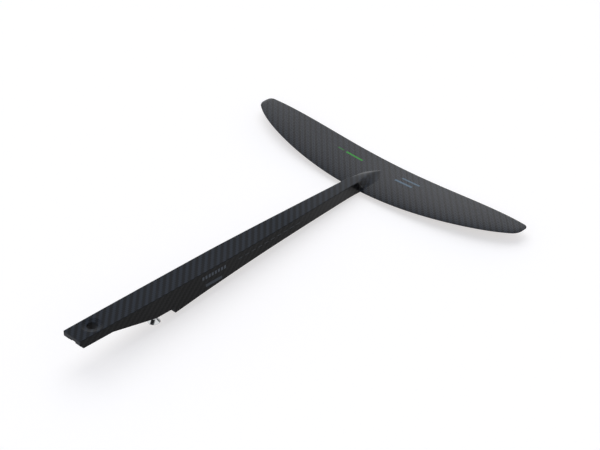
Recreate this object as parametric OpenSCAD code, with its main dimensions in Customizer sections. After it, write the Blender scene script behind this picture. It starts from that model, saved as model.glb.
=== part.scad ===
// Tail wing of a hydrofoil, moulded in one with its boom.
// Origin: axis of the tongue bore, on the tongue's lower seat face.
// +X runs from the joint end towards the wing, +Z towards the boom's flat deck.

/* [Wing] */
// Tip to tip
span = 360; // [300:1:450]
// Chord on the middle line
root_chord = 62.7; // [50:0.1:80]
// How far the leading edge has swept back at the tip
tip_sweep = 42.5; // [30:0.1:45]
// How far the trailing edge comes forward at the tip
tip_forward = 4.4; // [0:0.1:8]
// Mid-surface below the deck on the middle line
wing_drop = 10.5; // [10:0.1:14]
// Rise of the tips over the middle
tip_lift = 9.7; // [0:0.1:20]
// Thickness on the middle line
root_t = 6.4; // [5:0.1:9]
// Thickness at the tips
tip_t = 2; // [1.8:0.1:3]
// Thickness of the trailing edge
edge_t = 0.8; // [0.6:0.1:1.2]
// Thickness of each wing skin
skin_t = 0.8; // [0.6:0.05:1]

/* [Boom] */
// Tongue bore to the wing's trailing edge
reach = 407.4; // [380:0.1:500]
// Width at the joint end
joint_w = 24; // [22:0.1:30]
// Greatest width
belly_w = 25; // [24:0.1:32]
// Width where it meets the wing
neck_w = 12.4; // [11:0.1:16]
// Depth behind the step
heel_d = 26.8; // [25:0.1:34]
// Depth where it meets the wing
neck_d = 12.3; // [11.5:0.1:14]
// Length over which the depth falls away
fall_run = 90; // [70:1:110]
// Thickness of the deck laminate
deck_t = 2; // [1.5:0.1:3]
// Thickness of the side and bottom laminate
wall_t = 1.6; // [1:0.1:2.5]
// Thickness of the spar caps
cap_t = 1.5; // [1:0.1:2]
// Length of the nose over the wing
nose_len = 45; // [35:0.5:50]

/* [Joint end] */
// Bore axis to the end of the tongue
tongue_end = 23.7; // [20:0.1:30]
// Thickness of the tongue
tongue_t = 9; // [8:0.1:10]
// Bore for the joint screw
bore_d = 10.5; // [8:0.1:11]
// Width of the washer dish at the deck
dish_d = 21; // [17:0.1:22]
// Depth of the washer dish at the bore's edge
dish_h = 1; // [0.6:0.1:3]
// Chamfer under the tongue's end
end_chamfer = 3.3; // [1:0.1:4]
// Width of the key slot
slot_w = 9.5; // [6:0.1:12]
// Height of the key slot
slot_h = 5; // [4.5:0.1:5.5]
// Length of the key slot
slot_len = 13; // [10:0.1:14]
// Bore axis to the start of the ramp
ramp_x = 14; // [12:0.1:20]
// Bore axis to the start of the clamp seat
seat_x = 65.3; // [60:0.1:65.4]
// Bore axis to the step
step_x = 88.9; // [84:0.1:96]
// Depth of the clamp seat below the deck
seat_d = 20.9; // [20.8:0.1:24]

/* [Clamp screw] */
// Bore axis to the screw's axis
screw_x = 72.5; // [71:0.1:76]
// Thread diameter
screw_d = 6; // [6:1:8]
// Length over all
screw_len = 20.5; // [20:0.5:22]
// Width of the head
head_d = 12.6; // [11:0.1:13.5]
// Straight rim of the head
head_rim = 0.8; // [0.4:0.1:1]
// Width of the hexagon socket across its corners
hex_d = 4.6; // [4:0.1:5]
// Depth of the hexagon socket
hex_deep = 2.4; // [1.5:0.1:2.6]
// Head face below the clamp seat
stand_out = 14.1; // [12:0.1:15]
// Outer diameter of the threaded insert
insert_d = 10; // [9.5:0.1:11]
// Length of the threaded insert
insert_len = 16.4; // [16:0.1:17]

/* [Hidden] */
$fn = 64;

bond = 0.1;         // glue line between bonded pieces
core_bond = 0.15;   // glue line under the wing skins
run_gap = 0.05;     // radial clearance of the screw in its insert
block_x = 100;      // the solid tongue block ends here and the shells begin
spigot_len = 25;    // the block's spigot inside the shells
plug_len = 24;      // the root plug inside the shells
insert_cap = 1;     // closed end of the insert
swell_x = 48;       // the boom has its full width from here
taper_x = 150;      // and narrows from here
centre_half = 9;    // half width of the centre block
root_x = reach - root_chord;
shell_end = root_x - 1.2;
half_span = span / 2;

// chordwise limits of the pieces inside the wing
tow_front = 0.04;
core_front = 0.1;
spar_front = 0.3;
spar_back = 0.46;
core_back = 0.8;
tow_back = 0.88;

// ---- boom outlines -------------------------------------------------

// half width of the boom at x
function boom_half(x) =
    x < swell_x ? (joint_w + (belly_w - joint_w) * (x + tongue_end) / (swell_x + tongue_end)) / 2
    : x < taper_x ? belly_w / 2
    : (belly_w - (belly_w - neck_w) * pow((x - taper_x) / (root_x - taper_x), 1.35)) / 2;

// depth of the boom at x, behind the step
function boom_depth(x) =
    neck_d + (heel_d - neck_d) * exp(-pow((x - step_x) / fall_run, 1.15));

function stations(x0, x1, n) = [for (i = [0 : n]) x0 + (x1 - x0) * i / n];

// the deck plane lies one tongue thickness over the origin
module from_deck() { translate([0, 0, tongue_t]) children(); }

// plan outline between two x values, drawn in by side
module boom_plan(x0, x1, side, n) {
    xs = stations(x0, x1, n);
    polygon(concat([for (x = xs) [x, boom_half(x) - side]],
                   [for (i = [n : -1 : 0]) [xs[i], side - boom_half(xs[i])]]));
}

// a stretch of boom: plan outline crossed with a side outline
module boom_stretch(x0, x1, side, n) {
    intersection() {
        translate([0, 0, -2 * heel_d]) linear_extrude(2 * heel_d) boom_plan(x0, x1, side, n);
        rotate([90, 0, 0]) translate([0, 0, -belly_w]) linear_extrude(2 * belly_w) children();
    }
}

// side outline from depth top down to the underside drawn in by low
module side_outline(x0, x1, top, low) {
    n = 12;
    xs = stations(x0, x1, n);
    polygon(concat([[x0, -top], [x1, -top]],
                   [for (i = [n : -1 : 0]) [xs[i], low - boom_depth(xs[i])]]));
}

// ---- wing surfaces -------------------------------------------------

function lead_x(s) = root_x + tip_sweep * (0.65 * pow(s, 2) + 0.22 * pow(s, 4) + 0.13 * pow(s, 12));
function trail_x(s) = reach - tip_forward * pow(s, 4.5);
function mid_z(s) = -wing_drop + tip_lift * (1.9 * pow(s, 2) - 0.9 * pow(s, 4));
function wing_t(s) = root_t - (root_t - tip_t) * pow(s, 2);

// half thickness at chord fraction c
function half_t(c, s) =
    wing_t(s) * 5 * (0.2969 * sqrt(c) - 0.126 * c - 0.3516 * pow(c, 2)
                     + 0.2843 * pow(c, 3) - 0.1036 * pow(c, 4)) + c * edge_t / 2;

function wing_x(c, s) = lead_x(s) + c * (trail_x(s) - lead_x(s));

// point at chord fraction c and place y, at height h over the mid-surface
function wing_point(c, y, h) =
    let (s = abs(y) / half_span) [wing_x(c, s), y, mid_z(s) + h];

// closed solid through rings of points, ring after ring along +Y
module loft(rings) {
    n = len(rings[0]);
    last = len(rings) - 1;
    polyhedron(
        points = [for (r = rings, p = r) p],
        faces = concat(
            [[for (j = [0 : n - 1]) j]],
            [for (i = [0 : last - 1], j = [0 : n - 1])
                [i * n + j, (i + 1) * n + j, (i + 1) * n + (j + 1) % n]],
            [for (i = [0 : last - 1], j = [0 : n - 1])
                [i * n + j, (i + 1) * n + (j + 1) % n, i * n + (j + 1) % n]],
            [[for (j = [n - 1 : -1 : 0]) last * n + j]]));
}

// one skin: side is 1 for the upper and -1 for the lower
module wing_skin(side) {
    n = 16;
    cs = [for (j = [0 : n]) (1 - cos(180 * j / n)) / 2];
    ys = [for (i = [0 : 28]) -half_span * cos(180 * i / 28)];
    // inner height: a skin's thickness in, and close to the mid-surface where the wing is thin
    inner = function (c, s) bond / 4 + max(half_t(c, s) - skin_t, 0.05 * half_t(c, s));
    ring = function (y)
        let (s = abs(y) / half_span)
        concat([for (c = cs) wing_point(c, y, side * max(half_t(c, s), bond / 2))],
               [for (j = [n : -1 : 1]) wing_point(cs[j], y, side * inner(cs[j], s))]);
    from_deck() loft([for (y = ys) side > 0 ? ring(y) : [for (j = [2 * n : -1 : 0]) ring(y)[j]]]);
}

// a piece that fills the wing between its skins, from c0 to c1 and y0 to y1
module wing_fill(c0, c1, y0, y1) {
    n = 5;
    steps = ceil((y1 - y0) / 12);
    cs = [for (j = [0 : n]) c0 + (c1 - c0) * j / n];
    fill_h = function (c, y) max(half_t(c, abs(y) / half_span) - skin_t - core_bond, bond / 2);
    from_deck() loft([for (y = stations(y0, y1, steps))
        concat([for (c = cs) wing_point(c, y, fill_h(c, y))],
               [for (j = [n : -1 : 0]) wing_point(cs[j], y, -fill_h(cs[j], y))])]);
}

// ---- joint end -----------------------------------------------------

module tongue_outline() {
    polygon([[-tongue_end, 0], [-tongue_end, end_chamfer - tongue_t],
             [end_chamfer - tongue_end, -tongue_t], [ramp_x, -tongue_t],
             [seat_x, -seat_d], [step_x, -seat_d], [step_x, -heel_d],
             [block_x, -boom_depth(block_x)], [block_x, 0]]);
}

// solid laminate: tongue, ramp, clamp seat, step, and a spigot inside the shells
module tongue_block() {
    // the dish is part of a sphere through the dish's rim and the bore's edge
    ball_up = (pow(dish_d / 2, 2) - pow(bore_d / 2, 2) - pow(dish_h, 2)) / (2 * dish_h);
    ball_r = sqrt(pow(dish_d / 2, 2) + pow(ball_up, 2));
    color([0.17, 0.18, 0.2]) from_deck() difference() {
        union() {
            boom_stretch(-tongue_end, block_x, 0, 4) tongue_outline();
            boom_stretch(block_x - 5, block_x + spigot_len, wall_t + bond, 2)
                side_outline(block_x - 5, block_x + spigot_len, deck_t + bond, wall_t + bond);
        }
        // through bore and its washer dish
        translate([0, 0, -2 * tongue_t]) cylinder(d = bore_d, h = 3 * tongue_t);
        intersection() {
            translate([0, 0, ball_up]) sphere(r = ball_r);
            translate([0, 0, -tongue_t]) cylinder(d = dish_d + 2, h = tongue_t + 1);
        }
        // key slot in the underside of the tongue's end
        translate([-tongue_end - 1, -slot_w / 2, -tongue_t - 1]) cube([slot_len + 1, slot_w, slot_h + 1]);
        // pocket for the threaded insert
        translate([screw_x, 0, -seat_d - 1]) cylinder(d = insert_d + 2 * bond, h = insert_len + bond + 1);
    }
}

module threaded_insert() {
    color([0.75, 0.72, 0.65]) from_deck() translate([screw_x, 0, -seat_d]) difference() {
        cylinder(d = insert_d, h = insert_len);
        translate([0, 0, -1]) cylinder(d = screw_d + 2 * run_gap, h = insert_len - insert_cap + 1);
    }
}

// countersunk screw, standing head down out of the clamp seat
module clamp_screw() {
    r = screw_d / 2;
    cone_top = head_rim + head_d / 2 - r;
    tip = 0.6;
    color([0.78, 0.79, 0.8]) from_deck() translate([screw_x, 0, -seat_d - stand_out])
        difference() {
            rotate_extrude() polygon([[0, 0], [head_d / 2, 0], [head_d / 2, head_rim], [r, cone_top],
                                      [r, screw_len - tip], [r - tip, screw_len], [0, screw_len]]);
            translate([0, 0, -1]) cylinder(d = hex_d, h = hex_deep + 1, $fn = 6);
        }
}

// ---- boom ----------------------------------------------------------

module deck_laminate() {
    color([0.18, 0.21, 0.25]) from_deck() translate([0, 0, -deck_t]) linear_extrude(deck_t)
        boom_plan(block_x + bond, shell_end, 0, 14);
}

// sides and bottom in one U-shaped laminate
module lower_shell() {
    x0 = block_x + bond;
    color([0.12, 0.13, 0.14]) from_deck() difference() {
        boom_stretch(x0, shell_end, 0, 14) side_outline(x0, shell_end, deck_t + bond, 0);
        boom_stretch(x0 - 1, shell_end + 1, wall_t, 14)
            side_outline(x0 - 1, shell_end + 1, deck_t - 1, wall_t);
    }
}

// what lies inside the shells between two depths
core_x0 = block_x + spigot_len + bond;
core_x1 = shell_end - plug_len - bond;

module upper_spar_cap() {
    color([0.1, 0.1, 0.1]) from_deck() translate([0, 0, -deck_t - bond - cap_t]) linear_extrude(cap_t)
        boom_plan(core_x0, core_x1, wall_t + bond, 8);
}

module lower_spar_cap() {
    low = wall_t + bond;
    color([0.1, 0.1, 0.1]) from_deck() boom_stretch(core_x0, core_x1, wall_t + bond, 8) {
        n = 12;
        xs = stations(core_x0, core_x1, n);
        polygon(concat([for (x = xs) [x, low + cap_t - boom_depth(x)]],
                       [for (i = [n : -1 : 0]) [xs[i], low - boom_depth(xs[i])]]));
    }
}

module boom_core() {
    color([0.85, 0.75, 0.55]) from_deck() boom_stretch(core_x0, core_x1, wall_t + bond, 8)
        side_outline(core_x0, core_x1, deck_t + cap_t + 2 * bond, wall_t + cap_t + 2 * bond);
}

// solid laminate that closes the shells in front of the wing
module root_plug() {
    x0 = shell_end - plug_len;
    color([0.14, 0.14, 0.15]) from_deck() boom_stretch(x0, shell_end, wall_t + bond, 2)
        side_outline(x0, shell_end, deck_t + bond, wall_t + bond);
}

// nose of the boom, bonded down on the wing's upper skin
module nose_block() {
    n = 14;
    m = 6;
    x0 = shell_end + bond;
    nose_half = function (t) neck_w / 2 * sqrt(max(0, 1 - pow(t, 3))) + 0.3;
    nose_top = function (t) -(wing_drop - half_t(0.7, 0) + 0.3) * pow(t, 1.8);
    skin_z = function (x, y)
        let (s = abs(y) / half_span, c = (x - lead_x(s)) / (trail_x(s) - lead_x(s)))
        mid_z(s) + (c > 0 ? half_t(c, s) : 0) + core_bond;
    ring = function (t)
        let (x = x0 + t * nose_len, h = nose_half(t))
        concat([for (j = [-m : m]) [x, h * j / m, max(nose_top(t), skin_z(x, h * j / m) + 0.2)]],
               [for (j = [m : -1 : -m]) [x, h * j / m, skin_z(x, h * j / m)]]);
    color([0.16, 0.18, 0.21]) from_deck() loft([for (i = [0 : n]) ring(i / n)]);
}

// ---- wing ----------------------------------------------------------

module wing_upper_skin() { color([0.3, 0.31, 0.33]) wing_skin(1); }

module wing_lower_skin() { color([0.16, 0.17, 0.19]) wing_skin(-1); }

chord_gap = 0.002;   // glue line between chordwise neighbours, in chords
span_gap = 0.1;      // glue line between spanwise neighbours

module wing_spar() {
    color([0.1, 0.1, 0.1]) wing_fill(spar_front, spar_back, -0.9 * half_span, 0.9 * half_span);
}

// solid laminate in the middle of the wing, in front of the spar and behind it
module centre_block() {
    color([0.14, 0.14, 0.15]) {
        wing_fill(core_front, spar_front - chord_gap, -centre_half, centre_half);
        wing_fill(spar_back + chord_gap, core_back, -centre_half, centre_half);
    }
}

module front_core_left() {
    color([0.85, 0.75, 0.55])
        wing_fill(core_front, spar_front - chord_gap, centre_half + span_gap, 0.85 * half_span);
}

module front_core_right() { mirror([0, 1, 0]) front_core_left(); }

module rear_core_left() {
    color([0.85, 0.75, 0.55])
        wing_fill(spar_back + chord_gap, core_back, centre_half + span_gap, 0.8 * half_span);
}

module rear_core_right() { mirror([0, 1, 0]) rear_core_left(); }

module leading_edge_tow() {
    color([0.12, 0.12, 0.12])
        wing_fill(tow_front, core_front - chord_gap, -0.65 * half_span, 0.65 * half_span);
}

module trailing_edge_tow() {
    color([0.12, 0.12, 0.12])
        wing_fill(core_back + chord_gap, tow_back, -0.6 * half_span, 0.6 * half_span);
}

tongue_block();
threaded_insert();
clamp_screw();
deck_laminate();
lower_shell();
upper_spar_cap();
lower_spar_cap();
boom_core();
root_plug();
nose_block();
wing_upper_skin();
wing_lower_skin();
wing_spar();
centre_block();
front_core_left();
front_core_right();
rear_core_left();
rear_core_right();
leading_edge_tow();
trailing_edge_tow();
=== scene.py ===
"""Looks of a hydrofoil tail wing moulded in one with its boom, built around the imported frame.

Metres, in the frame of the CAD model: +X from the joint end to the wing, +Z to the flat deck.
"""
from math import atan, cos, exp, pi, radians, sin, sqrt

import bmesh
import bpy
from mathutils import Matrix, Vector

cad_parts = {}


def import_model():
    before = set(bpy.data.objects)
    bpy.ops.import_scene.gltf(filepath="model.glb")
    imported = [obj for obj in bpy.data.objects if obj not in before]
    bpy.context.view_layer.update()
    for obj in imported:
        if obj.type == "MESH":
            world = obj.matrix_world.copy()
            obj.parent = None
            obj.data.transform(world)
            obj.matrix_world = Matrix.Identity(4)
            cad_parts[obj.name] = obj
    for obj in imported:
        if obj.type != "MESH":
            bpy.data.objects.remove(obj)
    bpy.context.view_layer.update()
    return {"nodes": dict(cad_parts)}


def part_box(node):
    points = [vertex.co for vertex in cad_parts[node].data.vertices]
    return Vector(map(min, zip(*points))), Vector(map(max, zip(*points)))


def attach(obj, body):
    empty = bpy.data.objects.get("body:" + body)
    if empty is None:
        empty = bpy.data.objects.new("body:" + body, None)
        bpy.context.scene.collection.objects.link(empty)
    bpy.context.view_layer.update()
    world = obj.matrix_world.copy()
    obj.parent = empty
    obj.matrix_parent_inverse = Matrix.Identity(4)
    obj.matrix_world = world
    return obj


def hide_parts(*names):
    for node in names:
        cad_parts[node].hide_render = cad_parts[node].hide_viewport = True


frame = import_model()
nodes = frame["nodes"]

MM = 0.001

# ---- sizes, from the frame where it has them --------------------------------------------

DECK_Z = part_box("deck_laminate")[1].z
END_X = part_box("tongue_block")[0].x
HEEL_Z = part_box("tongue_block")[0].z
HALF_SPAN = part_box("wing_upper_skin")[1].y
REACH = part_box("wing_upper_skin")[1].x
ROOT_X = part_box("wing_upper_skin")[0].x
NOSE_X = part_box("nose_block")[0].x
NOSE_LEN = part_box("nose_block")[1].x - NOSE_X
SCREW_LOW, SCREW_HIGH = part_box("clamp_screw")
INSERT_LOW, INSERT_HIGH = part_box("threaded_insert")
SCREW_X = (SCREW_LOW.x + SCREW_HIGH.x) / 2
SEAT_Z = INSERT_LOW.z

TIP_SWEEP = 42.5 * MM
TIP_FORWARD = 4.4 * MM
WING_DROP = 10.5 * MM
TIP_LIFT = 9.7 * MM
ROOT_T = 6.4 * MM
TIP_T = 2 * MM
EDGE_T = 0.8 * MM
TIP_ROUND = 5 * MM          # corner radius of the tips in plan

JOINT_W = 24 * MM
BELLY_W = 25 * MM
NECK_W = 12.4 * MM
HEEL_D = DECK_Z - HEEL_Z
NECK_D = 12.3 * MM
FALL_RUN = 90 * MM
SWELL_X = 48 * MM
TAPER_X = 150 * MM
END_CHAMFER = 3.3 * MM
SLOT_W = 9.5 * MM
SLOT_H = 5 * MM
SLOT_END = END_X + 13 * MM
RAMP_X = 14 * MM
SEAT_X = 65.3 * MM
STEP_X = 88.9 * MM
BORE_R = 5.25 * MM
DISH_R = 10.5 * MM
DISH_H = 1 * MM             # depth of the dish at the bore's edge
EDGE_R = 0.6 * MM           # rounding of the boom's edges
FLARE = 1.4 * MM            # how much the nose widens over the wing's edge
FLARE_X = 354 * MM          # where that is widest
FLARE_RUN = 14 * MM         # how far it reaches before and behind
HEAD_RIM = 0.8 * MM         # straight rim of the clamp screw's head
SHANK_R = 2.95 * MM
KEY_R = 2.3 * MM            # corner radius of the hexagon socket
KEY_DEEP = 2.4 * MM
CUT_OVER = 2 * MM           # how far a cutter stands past the face it cuts
POCKET_GAP = 0.1 * MM

PITCH = 1 * MM              # thread of the clamp screw
THREAD_DEEP = 0.5 * MM

TOW = 2.05 * MM             # width of one tow in the twill


# ---- node trees -------------------------------------------------------------------------

class Val:
    """A socket that adds Math nodes to its tree when it is used in an expression."""

    def __init__(self, net, socket):
        self.net = net
        self.socket = socket

    def math(self, operation, *values):
        inputs = dict(enumerate(values))
        return self.net.add("ShaderNodeMath", {"operation": operation}, inputs)

    def __add__(self, other): return self.math("ADD", self, other)
    def __radd__(self, other): return self.math("ADD", other, self)
    def __sub__(self, other): return self.math("SUBTRACT", self, other)
    def __rsub__(self, other): return self.math("SUBTRACT", other, self)
    def __mul__(self, other): return self.math("MULTIPLY", self, other)
    def __rmul__(self, other): return self.math("MULTIPLY", other, self)
    def __truediv__(self, other): return self.math("DIVIDE", self, other)
    def __pow__(self, other): return self.math("POWER", self, other)
    def __mod__(self, other): return self.math("FLOORED_MODULO", self, other)
    def __gt__(self, other): return self.math("GREATER_THAN", self, other)
    def __lt__(self, other): return self.math("LESS_THAN", self, other)
    def __abs__(self): return self.math("ABSOLUTE", self)
    def floor(self): return self.math("FLOOR", self)
    def frac(self): return self.math("FRACT", self)
    def sqrt(self): return self.math("SQRT", self)
    def at_least(self, other): return self.math("MAXIMUM", self, other)
    def at_most(self, other): return self.math("MINIMUM", self, other)


class Net:
    """One node tree. add() makes any node from its type, its settings and its inputs."""

    def __init__(self, tree):
        self.tree = tree

    def add(self, kind, settings=None, inputs=None, out=0):
        node = self.tree.nodes.new(kind)
        for name, value in (settings or {}).items():
            setattr(node, name, value)
        for key, value in (inputs or {}).items():
            self.put(node.inputs[key], value)
        return Val(self, node.outputs[out])

    def put(self, socket, value):
        if isinstance(value, Val):
            self.tree.links.new(value.socket, socket)
        else:
            socket.default_value = value

    def split(self, vector):
        node = self.tree.nodes.new("ShaderNodeSeparateXYZ")
        self.put(node.inputs[0], vector)
        return [Val(self, node.outputs[k]) for k in range(3)]

    def mix(self, a, b, amount):
        """Colour a where amount is 0, b where it is 1."""
        return self.add("ShaderNodeMix", {"data_type": "RGBA"}, {0: amount, 6: a, 7: b}, out=2)

    def pick(self, a, b, amount):
        """Number a where amount is 0, b where it is 1."""
        return a + (b - a) * amount


def new_material(name, **shader):
    """A material, its net and its Principled shader, whose constants are set on the sockets."""
    material = bpy.data.materials.new(name)
    material.use_nodes = True
    net = Net(material.node_tree)
    principled = material.node_tree.nodes["Principled BSDF"]
    for key, value in shader.items():
        principled.inputs[key.replace("_", " ")].default_value = value
    return material, net, principled


def grey(level, blue=0.0):
    return (level * (1 - blue), level, level * (1 + blue), 1)


# ---- carbon -----------------------------------------------------------------------------

def twill(net, u, v):
    """2 by 2 twill in the u, v plane: a mask of the tows that run along u, and a height."""
    cell_u = (u / TOW).floor()
    cell_v = (v / TOW).floor()
    along_u = ((cell_u - cell_v) % 4) < 2
    across_u = (v / TOW).frac()
    across_v = (u / TOW).frac()
    float_u = ((u / TOW - cell_v) % 4) / 2
    float_v = ((v / TOW - cell_u) % 4) / 2
    crown_u = across_u * (1 - across_u) * 4
    crown_v = across_v * (1 - across_v) * 4
    arch_u = (float_u * (1 - float_u) * 4).at_least(0)
    arch_v = ((float_v - 0.5) * (1.5 - float_v) * 4).at_least(0)
    height_u = crown_u.sqrt() * 0.6 + arch_u * 0.4
    height_v = crown_v.sqrt() * 0.6 + arch_v * 0.4
    return along_u, net.pick(height_v, height_u, along_u)


def carbon(name, plane, dark, light, marks=None, gloss=0.3, shine=0.2, lift=0.0, side_shade=None):
    """Clear-coated twill. plane gives u and v from the net, marks a list of (mask, colour).

    lift raises the clear coat towards the nose; the last argument holds two darker colours that
    paint shade on the side faces.
    """
    material, net, shader = new_material(
        name, Roughness=gloss, Specular_IOR_Level=shine, Coat_Roughness=0.15, Coat_IOR=1.3)
    u, v = plane(net)
    along_u, height = twill(net, u, v)
    # filaments run along each tow, and the resin is a little cloudy
    place = net.add("ShaderNodeTexCoord", out=3)
    cloud = net.add("ShaderNodeTexNoise", None, {"Vector": place, "Scale": 22.0, "Detail": 2.0})
    strand = net.add("ShaderNodeTexNoise", None, {"Vector": place, "Scale": 2600.0, "Detail": 1.0})
    # painted sheen: the tows along u are lighter than the tows across, and each tow's crown lighter
    # than the creases beside it; strand and cloud add the cloth's own random tone
    painted_sheen_and_tone = along_u * 0.72 + height * 0.2 + (strand - 0.5) * 0.25 + (cloud - 0.5) * 0.18
    colour = net.mix(dark, light, painted_sheen_and_tone.at_least(0).at_most(1))
    along = net.split(place)[0]
    if side_shade:
        # painted shade: darker copies of the cloth colours on the upright sides up to the nose; the
        # joint's end face is mixed towards a flat grey
        nx, ny, _ = net.split(net.add("ShaderNodeTexCoord", out=1))
        square = ((NOSE_X + 14 * MM - along) / (12 * MM)).at_least(0).at_most(1)
        side_shade_mask = ((abs(ny) - 0.55) * 5).at_least(0).at_most(1) * square
        colour = net.mix(colour, net.mix(*side_shade, painted_sheen_and_tone.at_least(0).at_most(1)), side_shade_mask)
        colour = net.mix(colour, grey(0.04), (nx < -0.6) * 0.6)
    nose = ((along - NOSE_X + 100 * MM) / (NOSE_LEN + 70 * MM)).at_least(0).at_most(1)
    coat = 0.1 + (cloud - 0.5) * 0.06 + nose * lift
    roughness = gloss + (strand - 0.5) * 0.06 + (1 - height) * 0.05
    for mask, paint in (marks(net) if marks else []):
        colour = net.mix(colour, paint, mask * 0.92)
    bump = net.add("ShaderNodeBump", None,
                   {"Height": height * 0.9 + strand * 0.1, "Strength": 0.22, "Distance": 0.12 * MM})
    net.put(shader.inputs["Base Color"], colour)
    net.put(shader.inputs["Roughness"], roughness)
    net.put(shader.inputs["Coat Weight"], coat)
    net.put(shader.inputs["Normal"], bump)
    return material


def plan_plane(net):
    x, y, _ = net.split(net.add("ShaderNodeTexCoord", out=3))
    return x, y


def wrapped_plane(net):
    """u and v of cloth that wraps the boom: the plan on the deck, the side view on the sides."""
    x, y, z = net.split(net.add("ShaderNodeTexCoord", out=3))
    nx, ny, _ = net.split(net.add("ShaderNodeTexCoord", out=1))
    end = abs(nx) > 0.75
    side = (abs(ny) > 0.7).at_least(end)
    return net.pick(x, y, end), net.pick(y, z, side)


def bar(u, v, u0, u1, v0, v1):
    """Mask of a plain rectangle."""
    return (u > u0) * (u < u1) * (v > v0) * (v < v1)


def wing_marks(net):
    """Plain coloured bars: a green pair on the left half, a blue-grey pair on the right half."""
    x, y, _ = net.split(net.add("ShaderNodeTexCoord", out=3))
    top = net.split(net.add("ShaderNodeTexCoord", out=1))[2] > 0.3
    green = (0.008, 0.27, 0.010, 1)
    slate = (0.085, 0.14, 0.18, 1)
    long_green = bar(x, y, 385.6 * MM, 388.1 * MM, 27 * MM, 50 * MM)
    short_green = bar(x, y, 386.2 * MM, 387.6 * MM, 53.5 * MM, 62 * MM)
    front_slate = bar(x, y, 382 * MM, 384.6 * MM, -45 * MM, -22 * MM)
    rear_slate = bar(x, y, 390 * MM, 392.2 * MM, -49 * MM, -25 * MM)
    return [((long_green + short_green * 0.6) * top, green),
            ((front_slate + rear_slate) * top, slate)]


def boom_marks(net):
    """A plain ruled scale, a bar under it and a row of dashes, on the right side of the boom."""
    x, _, z = net.split(net.add("ShaderNodeTexCoord", out=3))
    side = net.split(net.add("ShaderNodeTexCoord", out=1))[1] < -0.7
    low = DECK_Z - z
    ticks = bar(x, low, 124 * MM, 155 * MM, 4.6 * MM, 8.2 * MM) * ((x / (4 * MM)).frac() < 0.6)
    plain = bar(x, low, 128 * MM, 149 * MM, 14.2 * MM, 17.4 * MM)
    dashes = bar(x, low, 168 * MM, 262 * MM, 5.9 * MM, 6.8 * MM) * ((x / (9 * MM)).frac() < 0.6)
    return [((ticks * 0.8 + plain * 0.55 + dashes * 0.35) * side, grey(0.13, 0.06))]


wing_carbon = carbon("wing_carbon", plan_plane,
                     (0.002, 0.003, 0.005, 1), (0.018, 0.0215, 0.028, 1),
                     wing_marks, gloss=0.26, shine=0.26)
# the boom's last two colours are painted shade on its side faces
boom_carbon = carbon("boom_carbon", wrapped_plane,
                     (0.002, 0.0027, 0.004, 1), (0.017, 0.0215, 0.029, 1),
                     boom_marks, shine=0.075, lift=0.6,
                     side_shade=((0.0005, 0.0005, 0.0005, 1), (0.012, 0.0115, 0.0105, 1)))


# ---- hidden and metal finishes -----------------------------------------------------------

def metal(name, level, rough, turned):
    """Steel with fine marks: turned is how many rings a metre of height shows."""
    material, net, shader = new_material(name, Metallic=1.0, Roughness=rough)
    place = net.add("ShaderNodeTexCoord", out=3)
    height = net.split(place)[2]
    rings = net.add("ShaderNodeTexNoise", {"noise_dimensions": "1D"},
                    {"W": height * turned, "Detail": 2.0})
    smear = net.add("ShaderNodeTexNoise", None, {"Vector": place, "Scale": 900.0, "Detail": 3.0})
    shade = 0.85 + rings * 0.2 + (smear - 0.5) * 0.15
    net.put(shader.inputs["Base Color"], net.mix(grey(0.02), grey(level, 0.02), shade.at_most(1)))
    net.put(shader.inputs["Roughness"], rough + (smear - 0.5) * 0.12)
    bump = net.add("ShaderNodeBump", None,
                   {"Height": rings, "Strength": 0.1, "Distance": 0.02 * MM})
    net.put(shader.inputs["Normal"], bump)
    return material


def foam():
    """Closed-cell foam core."""
    material, net, shader = new_material("core_foam", Roughness=0.9, Specular_IOR_Level=0.2)
    place = net.add("ShaderNodeTexCoord", out=3)
    cells = net.add("ShaderNodeTexVoronoi", None, {"Vector": place, "Scale": 1400.0})
    colour = net.mix((0.45, 0.33, 0.18, 1), (0.78, 0.66, 0.44, 1), (cells * 1.4).at_most(1))
    net.put(shader.inputs["Base Color"], colour)
    bump = net.add("ShaderNodeBump", None, {"Height": cells, "Strength": 0.5, "Distance": 0.2 * MM})
    net.put(shader.inputs["Normal"], bump)
    return material


def straight_laminate():
    """Unidirectional carbon, its fibres along the boom or along the span."""
    material, net, shader = new_material("straight_laminate", Specular_IOR_Level=0.4)
    x, y, _ = net.split(net.add("ShaderNodeTexCoord", out=3))
    fibres = net.add("ShaderNodeTexNoise", {"noise_dimensions": "2D"},
                     {"Vector": net.add("ShaderNodeCombineXYZ", None, {0: y * 2400, 1: x * 60}),
                      "Scale": 1.0, "Detail": 2.0})
    net.put(shader.inputs["Base Color"], net.mix(grey(0.012), grey(0.05), fibres))
    net.put(shader.inputs["Roughness"], 0.4 + fibres * 0.15)
    bump = net.add("ShaderNodeBump", None,
                   {"Height": fibres, "Strength": 0.2, "Distance": 0.05 * MM})
    net.put(shader.inputs["Normal"], bump)
    return material


screw_steel = metal("screw_steel", 0.72, 0.16, 4000.0)
insert_steel = metal("insert_steel", 0.6, 0.3, 9000.0)
core_foam = foam()
spar_carbon = straight_laminate()

CAD_FINISH = {
    "threaded_insert": insert_steel, "upper_spar_cap": spar_carbon, "lower_spar_cap": spar_carbon,
    "root_plug": spar_carbon, "wing_spar": spar_carbon, "centre_block": spar_carbon,
    "leading_edge_tow": spar_carbon, "trailing_edge_tow": spar_carbon, "boom_core": core_foam,
    "front_core_left": core_foam, "front_core_right": core_foam,
    "rear_core_left": core_foam, "rear_core_right": core_foam,
}
for name, material in CAD_FINISH.items():
    nodes[name].data.materials.clear()
    nodes[name].data.materials.append(material)


# ---- mesh helpers -----------------------------------------------------------------------

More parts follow.
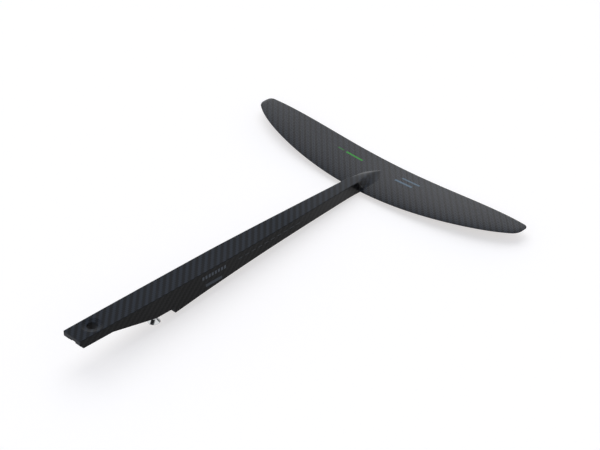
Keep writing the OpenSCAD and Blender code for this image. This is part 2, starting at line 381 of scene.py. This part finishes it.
def finish_mesh(obj, smooth_below=35):
    """Faces outwards and smooth, with edges sharper than smooth_below degrees kept crisp."""
    bm = bmesh.new()
    bm.from_mesh(obj.data)
    bmesh.ops.remove_doubles(bm, verts=bm.verts, dist=1e-6)
    bmesh.ops.recalc_face_normals(bm, faces=bm.faces)
    for face in bm.faces:
        face.smooth = True
    for edge in bm.edges:
        edge.smooth = len(edge.link_faces) == 2 and edge.calc_face_angle(0) < radians(smooth_below)
    bm.to_mesh(obj.data)
    bm.free()


def add_object(name, bm, material):
    mesh = bpy.data.meshes.new(name)
    bm.to_mesh(mesh)
    bm.free()
    obj = bpy.data.objects.new(name, mesh)
    bpy.context.scene.collection.objects.link(obj)
    mesh.materials.append(material)
    return obj


def loft(name, rings, material):
    """A closed solid through rings of points."""
    bm = bmesh.new()
    rows = [[bm.verts.new(p) for p in ring] for ring in rings]
    n = len(rows[0])
    for low, high in zip(rows, rows[1:]):
        for j in range(n):
            k = (j + 1) % n
            bm.faces.new((low[j], low[k], high[k], high[j]))
    bm.faces.new(rows[0][::-1])
    bm.faces.new(rows[-1])
    bmesh.ops.remove_doubles(bm, verts=bm.verts, dist=1e-6)
    bmesh.ops.dissolve_degenerate(bm, edges=bm.edges, dist=1e-6)
    bmesh.ops.recalc_face_normals(bm, faces=bm.faces)
    return add_object(name, bm, material)


def lathe(name, outline, material, centre, sides=64):
    """A solid of revolution about the vertical axis through centre."""
    rings = [[(centre.x + r * cos(2 * pi * k / sides), centre.y + r * sin(2 * pi * k / sides), z)
              for k in range(sides)] for r, z in outline]
    return loft(name, rings, material)


def bake(obj):
    """Apply every modifier and leave a plain mesh."""
    depsgraph = bpy.context.evaluated_depsgraph_get()
    mesh = bpy.data.meshes.new_from_object(obj.evaluated_get(depsgraph))
    obj.modifiers.clear()
    obj.data = mesh
    return obj


def cut(obj, cutter):
    """Take the cutter out of the object."""
    modifier = obj.modifiers.new("cut", "BOOLEAN")
    modifier.operation = "DIFFERENCE"
    modifier.solver = "EXACT"
    modifier.object = cutter
    bake(obj)
    bpy.data.objects.remove(cutter)


# ---- the wing: a grid bent by its rule, in Geometry Nodes ----------------------------------

def grid_tree(title, names, columns, rows):
    """A tree with named sizes and a unit grid, whose points a rule then places."""
    tree = bpy.data.node_groups.new(title, "GeometryNodeTree")
    net = Net(tree)
    tree.interface.new_socket("Geometry", in_out="OUTPUT", socket_type="NodeSocketGeometry")
    for name in names:
        tree.interface.new_socket(name, in_out="INPUT", socket_type="NodeSocketFloat")
    tree.interface.new_socket("Material", in_out="INPUT", socket_type="NodeSocketMaterial")
    given = tree.nodes.new("NodeGroupInput")
    size = {name: Val(net, given.outputs[name]) for name in names}
    grid = net.add("GeometryNodeMeshGrid", None, {"Size X": 1.0, "Size Y": 1.0,
                                                  "Vertices X": columns, "Vertices Y": rows})
    gx, gy, _ = net.split(net.add("GeometryNodeInputPosition"))

    def close(x, y, z):
        place = net.add("ShaderNodeCombineXYZ", None, {0: x, 1: y, 2: z})
        bent = net.add("GeometryNodeSetPosition", None, {"Geometry": grid, "Position": place})
        joined = net.add("GeometryNodeMergeByDistance", None, {"Geometry": bent, "Distance": 2e-6})
        solid = net.add("GeometryNodeRealizeInstances", None, {"Geometry": joined})
        coated = net.add("GeometryNodeSetMaterial", None,
                         {"Geometry": solid, "Material": Val(net, given.outputs["Material"])})
        net.put(tree.nodes.new("NodeGroupOutput").inputs[0], coated)
        return tree

    return size, gx, gy, close


def wing_tree():
    """The grid is wrapped once round the section and spread from tip to tip."""
    names = ["Half span", "Reach", "Root x", "Tip sweep", "Tip forward", "Wing drop", "Tip lift",
             "Root thickness", "Tip thickness", "Edge thickness", "Tip round", "Deck z"]
    size, gx, gy, close = grid_tree("wing_surface", names, 97, 241)
    turn = (gx + 0.5) * (2 * pi)
    c = (1 - turn.math("COSINE", turn)) * 0.5
    side = turn.math("SIGN", turn.math("SINE", turn))
    # stations crowd towards the tips
    y = (gy * pi).math("SINE", gy * pi) * size["Half span"]
    s = abs(y) / size["Half span"]
    s2 = s * s
    lead = size["Root x"] + size["Tip sweep"] * (s2 * 0.65 + s2 * s2 * 0.22 + (s ** 12) * 0.13)
    trail = size["Reach"] - size["Tip forward"] * (s ** 4.5)
    # the corners of the tip are arcs in plan
    into = (abs(y) - size["Half span"] + size["Tip round"]) / size["Tip round"]
    into = into.at_least(0).at_most(1)
    shape = (1 - into * into).sqrt()
    corner = (1 - shape) * size["Tip round"]
    chord = trail - lead - corner * 2
    x = lead + corner + c * chord
    c2 = c * c
    naca = c.sqrt() * 0.2969 - c * 0.126 - c2 * 0.3516 + c2 * c * 0.2843 - c2 * c2 * 0.1036
    thick = size["Root thickness"] - (size["Root thickness"] - size["Tip thickness"]) * s2
    # the section's own factors are 5 and 0.5: a shade less keeps the wing inside the CAD's box
    half = thick * 4.92 * naca + c * size["Edge thickness"] * 0.49
    half = half * (shape * 0.85 + 0.15 * (1 - into))
    middle = size["Deck z"] - size["Wing drop"] + size["Tip lift"] * (s2 * 1.9 - s2 * s2 * 0.9)
    return close(x, y, middle + half * side)


def grown(name, tree, **values):
    """An object made by a Geometry Nodes tree and baked to a plain mesh."""
    obj = bpy.data.objects.new(name, bpy.data.meshes.new(name))
    bpy.context.scene.collection.objects.link(obj)
    modifier = obj.modifiers.new("grow", "NODES")
    modifier.node_group = tree
    for item in tree.interface.items_tree:
        if item.item_type == "SOCKET" and item.in_out == "INPUT":
            modifier[item.identifier] = values[item.name.lower().replace(" ", "_")]
    bake(obj)
    return obj


wing = grown("wing_moulding", wing_tree(), half_span=HALF_SPAN, reach=REACH, root_x=ROOT_X,
             tip_sweep=TIP_SWEEP, tip_forward=TIP_FORWARD, wing_drop=WING_DROP, tip_lift=TIP_LIFT,
             root_thickness=ROOT_T, tip_thickness=TIP_T, edge_thickness=EDGE_T, tip_round=TIP_ROUND,
             deck_z=DECK_Z, material=wing_carbon)
finish_mesh(wing, 60)
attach(wing, "root")
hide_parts("wing_upper_skin", "wing_lower_skin")


# ---- the boom ---------------------------------------------------------------------------

def flare(x):
    """Extra half width where the boom spreads over the wing."""
    return FLARE * exp(-((x - FLARE_X) / FLARE_RUN) ** 2)


def boom_half(x):
    if x < SWELL_X:
        return (JOINT_W + (BELLY_W - JOINT_W) * (x - END_X) / (SWELL_X - END_X)) / 2
    if x < TAPER_X:
        return BELLY_W / 2
    narrowed = (BELLY_W - NECK_W) * ((x - TAPER_X) / (ROOT_X - TAPER_X)) ** 1.35
    return (BELLY_W - narrowed) / 2 + flare(x)


def boom_depth(x):
    return NECK_D + (HEEL_D - NECK_D) * exp(-((x - STEP_X) / FALL_RUN) ** 1.15)


def wing_top(x):
    """Height of the wing's upper surface on the middle line."""
    c = min(max((x - ROOT_X) / (REACH - ROOT_X), 0), 1)
    naca = 0.2969 * sqrt(c) - 0.126 * c - 0.3516 * c ** 2 + 0.2843 * c ** 3 - 0.1036 * c ** 4
    return DECK_Z - WING_DROP + ROOT_T * 5 * naca + c * EDGE_T / 2


CORNER_STEPS = 12


def corner(half, top):
    """Upper right corner of the boom, rounded, from the side face to the deck."""
    turns = [pi / 2 * k / CORNER_STEPS for k in range(CORNER_STEPS + 1)]
    return [(half - EDGE_R + EDGE_R * cos(a), top - EDGE_R + EDGE_R * sin(a)) for a in turns]


def boom_ring(x, half, top, low, roof=None, arc=None):
    """Outline across the boom: a slot in its lower side, then its upper corners."""
    roof = low if roof is None else roof
    arc = arc or corner(half, top)
    slot = min(SLOT_W / 2, half * 0.6)
    outline = [(-half, low), (-slot, low), (-slot, roof), (slot, roof), (slot, low), (half, low)]
    outline += arc + [(-y, z) for y, z in reversed(arc)]
    return [Vector((x, y, z)) for y, z in outline]


def blend(t):
    """Smooth step from 0 to 1."""
    t = min(max(t, 0), 1)
    return t * t * (3 - 2 * t)


def nose_rings():
    """The nose turns from the boom's square section into a bell that runs out on the wing."""
    rings = []
    count = 36
    neck_low = DECK_Z - boom_depth(NOSE_X)
    for i in range(1, count + 1):
        t = i / count
        x = NOSE_X + (NOSE_LEN - 0.3 * MM) * t
        half = NECK_W / 2 * (1 - t ** 1.8) ** 0.9 + flare(x) * (1 - t ** 4) + 0.1 * MM
        soft = blend(t / 0.12)
        base = wing_top(x) - 0.35 * MM
        height = (DECK_Z - base) * (1 - t ** 2.4) ** 1.15 + 0.1 * MM * t
        power = 2.5 + 11 * (1 - t) ** 3.5
        arc = []
        for k, (y, z) in enumerate(corner(half, base + height)):
            level = 0.07 + 0.925 * k / CORNER_STEPS
            bell = (half * ((1 - level) / level) ** (1 / power), base + height * level)
            arc.append((y + (bell[0] - y) * soft, z + (bell[1] - z) * soft))
        low = neck_low + (base - 1 * MM - neck_low) * soft
        rings.append(boom_ring(x, arc[0][0], base + height, low, arc=arc))
    return rings


def boom_rings():
    """Joint end, ramp, clamp seat and step, then the slim boom and its nose."""
    roof = SLOT_H
    soft = 0.5 * MM
    first = boom_half(END_X)
    rings = [boom_ring(END_X, first - soft, DECK_Z - soft, END_CHAMFER + soft, roof),
             boom_ring(END_X + soft, first, DECK_Z, END_CHAMFER, roof),
             boom_ring(END_X + END_CHAMFER, first, DECK_Z, 0, roof),
             boom_ring(SLOT_END, boom_half(SLOT_END), DECK_Z, 0, roof),
             boom_ring(SLOT_END, boom_half(SLOT_END), DECK_Z, 0),
             boom_ring(RAMP_X, boom_half(RAMP_X), DECK_Z, 0),
             boom_ring(SEAT_X, boom_half(SEAT_X), DECK_Z, SEAT_Z),
             boom_ring(STEP_X, boom_half(STEP_X), DECK_Z, SEAT_Z),
             boom_ring(STEP_X, boom_half(STEP_X), DECK_Z, HEEL_Z)]
    count = 40
    for i in range(1, count + 1):
        x = STEP_X + (NOSE_X - STEP_X) * i / count
        rings.append(boom_ring(x, boom_half(x), DECK_Z, DECK_Z - boom_depth(x)))
    return rings + nose_rings()


def dish_outline():
    """Bore, then the round dish: part of a sphere through the bore's edge and the dish's rim."""
    up = (DISH_R ** 2 - BORE_R ** 2 - DISH_H ** 2) / (2 * DISH_H)
    ball = sqrt(DISH_R ** 2 + up ** 2)
    rim = DISH_R + 0.3 * MM
    steps = 10
    radii = [BORE_R + (rim - BORE_R) * k / steps for k in range(steps + 1)]
    curve = [(r, DECK_Z + up - sqrt(ball ** 2 - r ** 2)) for r in radii]
    return [(BORE_R, -CUT_OVER)] + curve + [(rim, DECK_Z + CUT_OVER)]


boom = loft("boom_moulding", boom_rings(), boom_carbon)
cut(boom, lathe("bore", dish_outline(), boom_carbon, Vector((0, 0, 0)), sides=96))
pocket_r = INSERT_HIGH.x - SCREW_X + POCKET_GAP
cut(boom, lathe("pocket", [(pocket_r, SEAT_Z - CUT_OVER), (pocket_r, INSERT_HIGH.z + POCKET_GAP)],
                boom_carbon, Vector((SCREW_X, 0, 0))))
rounding = boom.modifiers.new("rounding", "BEVEL")
rounding.width = 0.4 * MM
rounding.segments = 3
rounding.limit_method = "ANGLE"
rounding.angle_limit = radians(50)
bake(boom)
finish_mesh(boom, 40)
even = boom.modifiers.new("even_shading", "WEIGHTED_NORMAL")
even.keep_sharp = True
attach(boom, "root")
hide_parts("tongue_block", "deck_laminate", "lower_shell", "nose_block")


# ---- the clamp screw ----------------------------------------------------------------------

def thread_tree():
    """A fine tube whose wall is pressed in along a helix."""
    names = ["Radius", "Groove depth", "Pitch", "Foot z", "Tip z", "Screw x"]
    size, gx, gy, close = grid_tree("screw_thread", names, 49, 165)
    turn = gx * (2 * pi)
    rise = gy + 0.5
    z = size["Foot z"] + rise * (size["Tip z"] - size["Foot z"])
    phase = (z / size["Pitch"] - gx + 8).frac()
    groove = 1 - abs(phase * 2 - 1)
    # the thread runs out at the head and is pointed at the tip
    run_in = (rise * 14).at_most(1)
    point = ((rise - 0.97) * 33).at_least(0)
    # the grid's two end rows close to the axis
    closed = (abs(gy) < 0.4999)
    radius = (size["Radius"] - size["Groove depth"] * (groove * run_in + point)) * closed
    return close(size["Screw x"] + radius * turn.math("COSINE", turn),
                 radius * turn.math("SINE", turn), z)


HEAD_TOP = SCREW_LOW.z + HEAD_RIM + (SCREW_HIGH.x - SCREW_X) - SHANK_R


def screw_head():
    """Countersunk head with a hexagon socket, head down."""
    z = SCREW_LOW.z
    r = SCREW_HIGH.x - SCREW_X
    soft = 0.15 * MM
    outline = [(r - 3 * soft, z), (r - soft, z + 0.3 * soft), (r, z + soft * 1.5),
               (r, z + HEAD_RIM), (r - soft, z + HEAD_RIM + soft), (SHANK_R + soft, HEAD_TOP),
               (SHANK_R, HEAD_TOP + soft), (SHANK_R, HEAD_TOP + 0.6 * MM)]
    head = lathe("screw_head", outline, screw_steel, Vector((SCREW_X, 0, 0)))
    key = lathe("key", [(KEY_R, z - MM), (KEY_R, z + KEY_DEEP)], screw_steel,
                Vector((SCREW_X, 0, 0)), sides=6)
    cut(head, key)
    return head


head = screw_head()
finish_mesh(head, 40)
thread = grown("screw_thread", thread_tree(), radius=2.99 * MM, groove_depth=THREAD_DEEP,
               pitch=PITCH, foot_z=HEAD_TOP + 0.2 * MM, tip_z=SCREW_HIGH.z, screw_x=SCREW_X,
               material=screw_steel)
finish_mesh(thread, 40)
for piece in (head, thread):
    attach(piece, "screw")
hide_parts("clamp_screw")


# ---- floor, light and camera ------------------------------------------------------------

def rest_plane():
    """The plane under the screw's head and the wing: a point on it and its slope along X."""
    foot = Vector((SCREW_HIGH.x, 0, SCREW_LOW.z))
    slope = min((v.co.z - foot.z) / (v.co.x - foot.x) for v in wing.data.vertices)
    return foot, slope


FLOOR_TONE = (0.53, 0.505, 0.475, 1)
FLOOR_LIFT = (0.605, 0.585, 0.57, 1)     # shown on top of the lit tone, to make it plain white
FLOOR_SIZE = 30.0
FLOOR_GAP = 0.05 * MM
WHITE = (1, 1, 1, 1)
BLACK = (0, 0, 0, 1)
ROOM_LOW = (0.52, 0.62, 0.80, 1)
ROOM_HIGH = (0.20, 0.28, 0.41, 1)
WARM_BAND = (2.7, 2.22, 1.97, 1)


def shown_ray(net):
    """1 for rays that show the background: to the eye, mirrored and let through."""
    eye, mirrored, through = (net.add("ShaderNodeLightPath", out=k) for k in (0, 3, 6))
    return eye + mirrored + through


def floor():
    """A pale sheet that keeps a soft shadow; to the eye and in reflections it is nearly white."""
    foot, slope = rest_plane()
    bm = bmesh.new()
    bmesh.ops.create_grid(bm, x_segments=1, y_segments=1, size=FLOOR_SIZE)
    material = bpy.data.materials.new("floor_white")
    material.use_nodes = True
    net = Net(material.node_tree)
    net.tree.nodes.clear()
    matt = net.add("ShaderNodeBsdfDiffuse", None, {"Color": FLOOR_TONE})
    lift = net.mix(BLACK, FLOOR_LIFT, shown_ray(net))
    glow = net.add("ShaderNodeEmission", None, {"Color": lift, "Strength": 1.0})
    shown = net.add("ShaderNodeAddShader", None, {0: matt, 1: glow})
    result = net.tree.nodes.new("ShaderNodeOutputMaterial")
    net.put(result.inputs[0], shown)
    obj = add_object("floor", bm, material)
    tilt = Matrix.Rotation(-atan(slope), 4, "Y")
    obj.matrix_world = Matrix.Translation(foot - Vector((0, 0, FLOOR_GAP))) @ tilt


def world():
    """White to the eye and in reflections; its light is a dim blue room with a warm band behind."""
    scene_world = bpy.data.worlds.new("room")
    scene_world.use_nodes = True
    bpy.context.scene.world = scene_world
    net = Net(scene_world.node_tree)
    net.tree.nodes.clear()
    x, y, rise = net.split(net.add("ShaderNodeTexCoord", out=0))
    behind = x * 0.71 + y * 0.70
    across = x * 0.70 - y * 0.71
    overhead = ((rise - 0.42) * 3.2).at_least(0).at_most(1)
    band = 1.0
    for part in ((0.52 - rise) * 4, (rise - 0.2) * 7, behind * 1.6, 0.8 + across * 1.2):
        band = part.at_least(0).at_most(1) * band
    colour = net.mix(ROOM_LOW, ROOM_HIGH, overhead)
    colour = net.mix(colour, WARM_BAND, band)
    shown = net.mix(colour, WHITE, shown_ray(net))
    back = net.add("ShaderNodeBackground", None, {"Color": shown, "Strength": 1.0})
    result = net.tree.nodes.new("ShaderNodeOutputWorld")
    net.put(result.inputs[0], back)


def sky_lamp():
    """Even light from above with very soft shadows, hidden from reflections."""
    data = bpy.data.lights.new("sky", "SUN")
    data.energy = 1.4
    data.angle = radians(70)
    lamp = bpy.data.objects.new("sky", data)
    bpy.context.scene.collection.objects.link(lamp)
    lamp.rotation_euler = Vector((0.25, 0.35, 1)).to_track_quat("Z", "Y").to_euler()
    lamp.visible_glossy = False


def camera():
    """Long lens from the front right of the joint end, at the angle of a product view."""
    azimuth, elevation = radians(-45.23), radians(33.95)
    aim = Vector((247.4, -19.6, 9.0)) * MM
    distance = 1.7623
    back = Vector((sin(azimuth) * cos(elevation), -cos(azimuth) * cos(elevation), sin(elevation)))
    data = bpy.data.cameras.new("camera")
    data.lens = 108
    data.sensor_width = 36
    data.clip_end = 100
    obj = bpy.data.objects.new("camera", data)
    bpy.context.scene.collection.objects.link(obj)
    obj.location = aim + back * distance
    obj.rotation_euler = back.to_track_quat("Z", "Y").to_euler()
    bpy.context.scene.camera = obj


floor()
world()
sky_lamp()
camera()
bpy.context.scene.view_settings.view_transform = "Standard"
